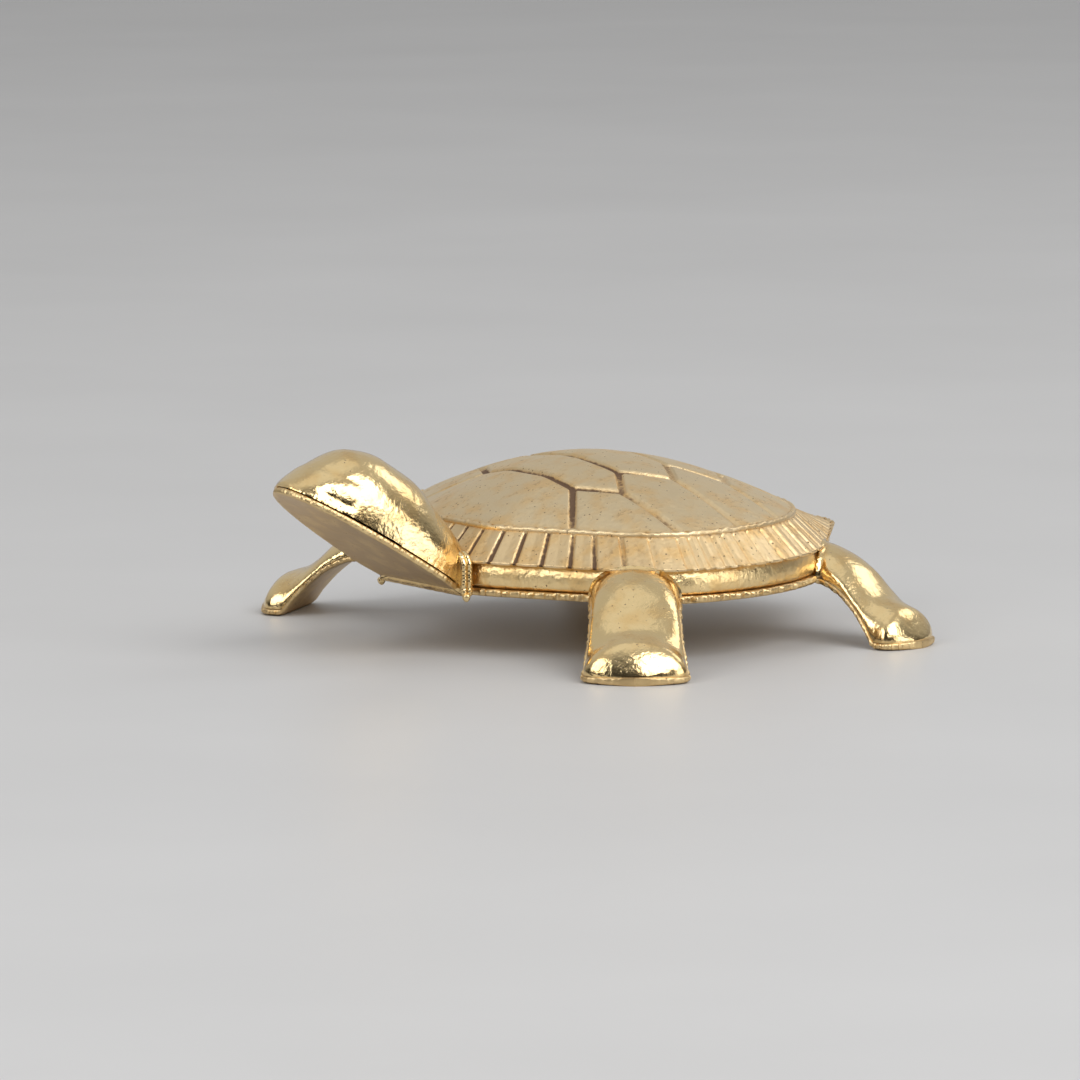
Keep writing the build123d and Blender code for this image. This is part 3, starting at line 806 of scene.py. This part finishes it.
class TURTLE_OT_legs(bpy.types.Operator):
    """Build the four bent legs"""

    bl_idname = "turtle.legs"
    bl_label = "Legs"

    least_arch = 0.0006
    rim_gap = 0.0002
    rim_width = 0.0003
    crevice_gap = 0.0008

    def leg(self, shell, limbs, side, axis, length, width):
        """Arches along the leg: across by cos t, up by sin t to a power, with a bead at the band."""
        toe = 1 - limbs.flange / length
        along = leg_stations(toe, 150)[:, None]
        half = smooth_between(along, LEG_ALONG_SHARES, LEG_HALF_SHARES) * width / 2 - limbs.flange
        half = half * rounded_end(along, TOE_PLAN_SHARE, toe)
        top = smooth_between(along, LEG_ALONG_SHARES, LEG_TOP_SHARES) * limbs.root_height
        base = smooth_between(along, LEG_ALONG_SHARES, LEG_BASE_SHARES) * limbs.root_height
        base = base + 0.9 * (PLATE_HIGH.z - plate_under(limbs))
        tall = np.maximum(top - base, self.least_arch) * rounded_end(along, TOE_HEIGHT_SHARE, toe)
        swing = np.linspace(0, pi, 84)
        across = half * np.cos(swing)
        arch = np.sin(swing) ** 0.95
        up = base + tall * arch
        places = leg_places(axis, side, along * length, across, up)
        gap = outside_band(places[..., :2] * (1, side), shell)
        rim = limbs.rim * bell(gap - self.rim_gap, self.rim_width)
        across = across + rim * np.cos(swing)
        up = up + rim * np.sin(swing)
        rows = leg_places(axis, side, along * length, across, up)
        # Painted shade: the mark darkens each leg along its lower edges where it meets its tongue, and in
        # the crevice just outside the root rim by the band.
        tone_and_shade = 0.6 * bell(arch, 0.10) + 0.8 * bell(gap - self.crevice_gap, self.rim_width)
        return capped(rows, tone_and_shade)

    def execute(self, context):
        """Two legs a side, the right ones mirror images of the left."""
        shell = context.scene.turtle_shell
        limbs = context.scene.turtle_limbs
        for side, hand in ((1, "left"), (-1, "right")):
            for leg, end in zip(leg_sizes(limbs), ("front", "rear")):
                make_piece(f"{end}_{hand}_leg", [self.leg(shell, limbs, side, *leg)], "Polished gilt")
        return {"FINISHED"}


def chin_places(head, along, across, up):
    """Points from distances along and across the chin plate and heights square to it."""
    lean = head.chin_tilt
    x = CHIN_LOW.x + along * np.cos(lean) - up * np.sin(lean)
    z = CHIN_HIGH.z - head.chin_length * np.sin(lean) + along * np.sin(lean) + up * np.cos(lean)
    return np.stack(np.broadcast_arrays(x, across, z), -1)


class TURTLE_OT_head_shell(bpy.types.Operator):
    """Build the half-egg head with its snout, lip and mouth slit"""

    bl_idname = "turtle.head_shell"
    bl_label = "Head shell"

    tip_share = 0.992
    base_clearance = 0.00005
    rim_width = 0.0004
    rim_roll = 0.00010
    rim_roughness = 0.00003
    rim_shade = 0.0003

    def execute(self, context):
        """Arches carried along the chin plate, moved in and out by bells for cheek, crease, lip and rim."""
        head = context.scene.turtle_head
        reach = np.sin(np.linspace(0, 1, 170)[:, None] * pi / 2)
        along = HEAD_ALONG_SHARES[0] + (self.tip_share - HEAD_ALONG_SHARES[0]) * reach
        half = smooth_between(along, HEAD_ALONG_SHARES, HEAD_HALF_SHARES) * CHIN_HIGH.y
        top = smooth_between(along, HEAD_ALONG_SHARES, HEAD_TOP_SHARES) * head.height
        swing = np.linspace(0, pi, 150)
        slit = smoothstep(0.42, 0.45, along) - smoothstep(0.74, 0.77, along)
        base = self.base_clearance + head.slit_height * slit
        up = base + (top - base) * np.sin(swing) ** 0.85
        across = half * np.cos(swing)
        snout = smoothstep(0.70, 0.76, along) * (1 - smoothstep(0.84, 0.92, along))
        level = up / head.height
        lip = 1.4 * bell(level - 0.30, 0.09) + bell(level - 0.04, 0.05)
        crease = bell(level - 0.46, 0.05) + bell(level - 0.12, 0.04)
        push = snout * head.crease_depth * (lip - crease)
        push = push - snout * head.cheek_step * (1 - smoothstep(0.45, 0.75, level))
        roll = self.rim_roll + self.rim_roughness * ripple(along / 1.2, (31, 47, 71, 97), 11)
        push = push + bell(up - base, self.rim_width) * roll * (1 - slit)
        across = across + push * np.cos(swing)
        up = np.maximum(up + push * np.sin(swing), base)
        rows = chin_places(head, along * head.chin_length, across, up)
        shade = 0.35 * bell(up - base, self.rim_shade)
        shade = shade + 0.5 * snout * (bell(level - 0.46, 0.04) + bell(level - 0.12, 0.03))
        speckle = 0.62 * bell(along - 0.12, 0.13) * bell(level - 0.25, 0.22)
        make_piece("head_shell", [capped(rows, np.maximum(shade, speckle))], "Polished gilt")
        return {"FINISHED"}


class TURTLE_OT_chin_plate(bpy.types.Operator):
    """Build the flat chin plate"""

    bl_idname = "turtle.chin_plate"
    bl_label = "Chin plate"

    edge_roughness = 0.00007
    edge_clearance = 0.00012
    edge_round = 0.0002
    face_clearance = 0.00002
    rear_fade = 0.002
    dish = np.array((0.00012, 0.00012, 0.00010, 0.0))

    def execute(self, context):
        """Straight sides and a half ellipse with an edge profile, closed at the middle on both faces."""
        head = context.scene.turtle_head
        straight = head.straight_share * head.chin_length
        swing = np.linspace(-pi / 2, pi / 2, 120)
        nose = straight + (head.chin_length - straight) * np.cos(swing)
        nose = np.stack([nose, CHIN_HIGH.y * np.sin(swing)], 1)
        rear = head.rear_width / 2
        loop, normals = resample_loop(np.concatenate([[(0.0, -rear)], nose, [(0.0, rear)]]), 500)
        rough = self.edge_roughness * ripple(even_turns(len(loop)), (37, 61, 89, 140), 3)
        rough = rough * smoothstep(0.0, self.rear_fade, loop[:, 0])
        swing = np.linspace(-pi / 2, pi / 2, 9)
        bulge = np.cos(swing)[:, None]
        half = head.chin_thickness / 2
        inset = self.edge_clearance + self.edge_round * (1 - bulge) - rough * bulge
        height = (half - self.face_clearance) * np.sin(swing) - half
        middle = np.array((straight, 0.0))
        plan = faced(loop - inset[..., None] * normals, middle, (0.96, 0.90, 0.6, 0.3))
        level = np.concatenate([height[0] + self.dish, height, np.full(4, height[-1])])[:, None]
        rows = chin_places(head, plan[..., 0], plan[..., 1], level)
        tone_and_shade = np.concatenate([np.zeros(4), (0.5,), np.ones(8), np.zeros(4)])[:, None]
        make_piece("chin_plate", [capped(rows, tone_and_shade)], "Brushed gilt")
        return {"FINISHED"}


class TURTLE_OT_neck_collar(bpy.types.Operator):
    """Build the collar strip between head and band"""

    bl_idname = "turtle.neck_collar"
    bl_label = "Neck collar"

    corner_radii = (0.0003, 0.002, 0.002, 0.0003)
    groove_inset = 0.00035
    bead_height = 0.00030
    roughness = 0.00006

    def execute(self, context):
        """A rounded upright plate whose edge carries two beads side by side."""
        wide, low, high = COLLAR_HIGH.y, COLLAR_LOW.z, COLLAR_HIGH.z
        corners = [(wide, low), (wide, high), (-wide, high), (-wide, low)]
        loop, normals = resample_loop(rounded_loop(corners, self.corner_radii), 420)
        deep = np.linspace(0, 1, 25)
        beads = np.abs(np.sin(deep * 2 * pi)) ** 0.6
        rough = self.roughness * ripple(even_turns(len(loop)), (29, 53, 77, 111), 9)
        inset = self.groove_inset - self.bead_height * beads[:, None] + np.abs(rough)
        middle = np.array((0.0, (low + high) / 2))
        plan = faced(loop - inset[..., None] * normals, middle, (0.7, 0.35))
        thick = context.scene.turtle_head.collar_depth
        level = COLLAR_HIGH.x - thick * np.concatenate([np.ones(2), 1 - deep, np.zeros(2)])
        rows = np.roll(raised(plan, level[:, None]), 1, axis=-1)
        tone_and_shade = np.pad(1 - beads, 2)[:, None]
        make_piece("neck_collar", [capped(rows, tone_and_shade)], "Polished gilt")
        return {"FINISHED"}


class TURTLE_OT_solder_tacks(bpy.types.Operator):
    """Build the lumpy solder beads beside the collar"""

    bl_idname = "turtle.solder_tacks"
    bl_label = "Solder tacks"

    def execute(self, context):
        """Balls whose radius wavers with latitude and longitude, one at each lower end of the collar."""
        middle = (TACK_LOW + TACK_HIGH) / 2
        radius = (TACK_HIGH.x - TACK_LOW.x) / 2
        turns = even_turns(40)
        rise = np.linspace(-pi / 2, pi / 2, 25)[:, None]
        lump = 0.80 + 0.05 * ripple(turns, (2, 3, 5), 4) * np.cos(rise) + 0.04 * np.sin(3 * rise)
        ball = radius * lump
        grids = []
        for side in (1, -1):
            x = middle.x + ball * np.cos(rise) * np.cos(2 * pi * turns)
            y = side * (TACK_HIGH.y - radius) + ball * np.cos(rise) * np.sin(2 * pi * turns)
            z = middle.z + ball * np.sin(rise)
            grids.append((np.stack([x, y, z], -1), 0.0, False, True))
        make_piece("solder_tacks", grids, "Gilded solder")
        return {"FINISHED"}


class TURTLE_OT_stage(bpy.types.Operator):
    """Set up the floor, the light and the camera"""

    bl_idname = "turtle.stage"
    bl_label = "Stage"

    def floor(self, stage):
        """One flat square of plain pale grey with faint clouds."""
        side = np.array((-1.0, 1.0)) * stage.floor_half
        x, y = np.meshgrid(side, side)
        mesh = bpy.data.meshes.new("floor")
        mesh.from_pydata(np.stack([x, y, np.zeros_like(x)], -1).reshape(-1, 3), [], [(0, 1, 3, 2)])
        material = bpy.data.materials.new("Pale floor")
        material.use_nodes = True
        tree = material.node_tree
        place = add_node(tree, "ShaderNodeTexCoord").outputs["Object"]
        pale = tuple(stage.floor_colour)
        dim = tuple(0.88 * value for value in pale)
        shader = tree.nodes["Principled BSDF"].inputs
        colour = blend_node(tree, noise_node(tree, place, 14.0, 5.0), (*dim, 1.0), (*pale, 1.0))
        tree.links.new(colour, shader["Base Color"])
        shader["Roughness"].default_value = 0.42
        shader["Specular IOR Level"].default_value = 0.35
        mesh.materials.append(material)
        floor = bpy.data.objects.new("floor", mesh)
        bpy.context.scene.collection.objects.link(floor)

    def room(self, stage):
        """Room light that brightens from low in front of the turtle to high behind it."""
        world = bpy.data.worlds.new("Studio room")
        world.use_nodes = True
        tree = world.node_tree
        inputs = {0: add_node(tree, "ShaderNodeTexCoord").outputs["Generated"]}
        inputs[1] = Vector(stage.sky_axis).normalized()
        up = add_node(tree, "ShaderNodeVectorMath", inputs, operation="DOT_PRODUCT").outputs["Value"]
        shade = ramp_node(tree, up, 0.05, 0.75)
        colour = blend_node(tree, shade, (*stage.sky_low, 1.0), (*stage.sky_high, 1.0))
        tree.links.new(colour, tree.nodes["Background"].inputs["Color"])
        bpy.context.scene.world = world

    def lamp(self, name, direction, distance, wide, tall, level):
        """A soft box that looks at the turtle: its power is level times pi times its area."""
        light = bpy.data.lights.new(name, "AREA")
        light.shape = "RECTANGLE"
        light.size = wide
        light.size_y = tall
        light.energy = level * pi * wide * tall
        lamp = bpy.data.objects.new(name, light)
        lamp.location = Vector(direction).normalized() * distance
        lamp.rotation_euler = (-lamp.location).to_track_quat("-Z", "Y").to_euler()
        bpy.context.scene.collection.objects.link(lamp)

    def execute(self, context):
        """Floor, room, five soft boxes and a long lens at the turtle's left front."""
        stage = context.scene.turtle_stage
        self.floor(stage)
        self.room(stage)
        for name, box in BOXES.items():
            self.lamp(name, *box)
        camera = bpy.data.objects.new("camera", bpy.data.cameras.new("camera"))
        camera.data.lens = stage.lens
        camera.data.sensor_width = stage.sensor
        camera.location = stage.camera_place
        look = Vector(stage.camera_target) - camera.location
        camera.rotation_euler = look.to_track_quat("-Z", "Y").to_euler()
        context.scene.collection.objects.link(camera)
        context.scene.camera = camera
        context.scene.view_settings.view_transform = "Standard"
        return {"FINISHED"}


STEPS = (
    TURTLE_OT_carapace_dome,
    TURTLE_OT_marginal_ring,
    TURTLE_OT_side_band,
    TURTLE_OT_belly_plate,
    TURTLE_OT_legs,
    TURTLE_OT_neck_collar,
    TURTLE_OT_head_shell,
    TURTLE_OT_chin_plate,
    TURTLE_OT_solder_tacks,
    TURTLE_OT_stage,
)


class TURTLE_PT_panel(bpy.types.Panel):
    """Sidebar list of the turtle's pieces"""

    bl_idname = "TURTLE_PT_panel"
    bl_label = "Gilt Turtle"
    bl_space_type = "VIEW_3D"
    bl_region_type = "UI"
    bl_category = "Turtle"

    def draw(self, context):
        """One button for each step."""
        for step in STEPS:
            self.layout.operator(step.bl_idname)


GROUPS = {
    "turtle_shell": ShellSizes,
    "turtle_limbs": LimbSizes,
    "turtle_head": HeadSizes,
    "turtle_colours": FinishColours,
    "turtle_stage": StageSizes,
}


def register():
    """Registers the sizes, the operators and the panel."""
    for name, group in GROUPS.items():
        bpy.utils.register_class(group)
        setattr(bpy.types.Scene, name, PointerProperty(type=group))
    for step in (*STEPS, TURTLE_PT_panel):
        bpy.utils.register_class(step)


def unregister():
    """Takes them away again."""
    for step in (TURTLE_PT_panel, *reversed(STEPS)):
        bpy.utils.unregister_class(step)
    for name, group in reversed(GROUPS.items()):
        delattr(bpy.types.Scene, name)
        bpy.utils.unregister_class(group)


def main():
    """Builds every piece and the stage."""
    register()
    bpy.ops.turtle.carapace_dome()
    bpy.ops.turtle.marginal_ring()
    bpy.ops.turtle.side_band()
    bpy.ops.turtle.belly_plate()
    bpy.ops.turtle.legs()
    bpy.ops.turtle.neck_collar()
    bpy.ops.turtle.head_shell()
    bpy.ops.turtle.chin_plate()
    bpy.ops.turtle.solder_tacks()
    bpy.ops.turtle.stage()
    bpy.context.view_layer.update()


if __name__ == "__main__":
    main()
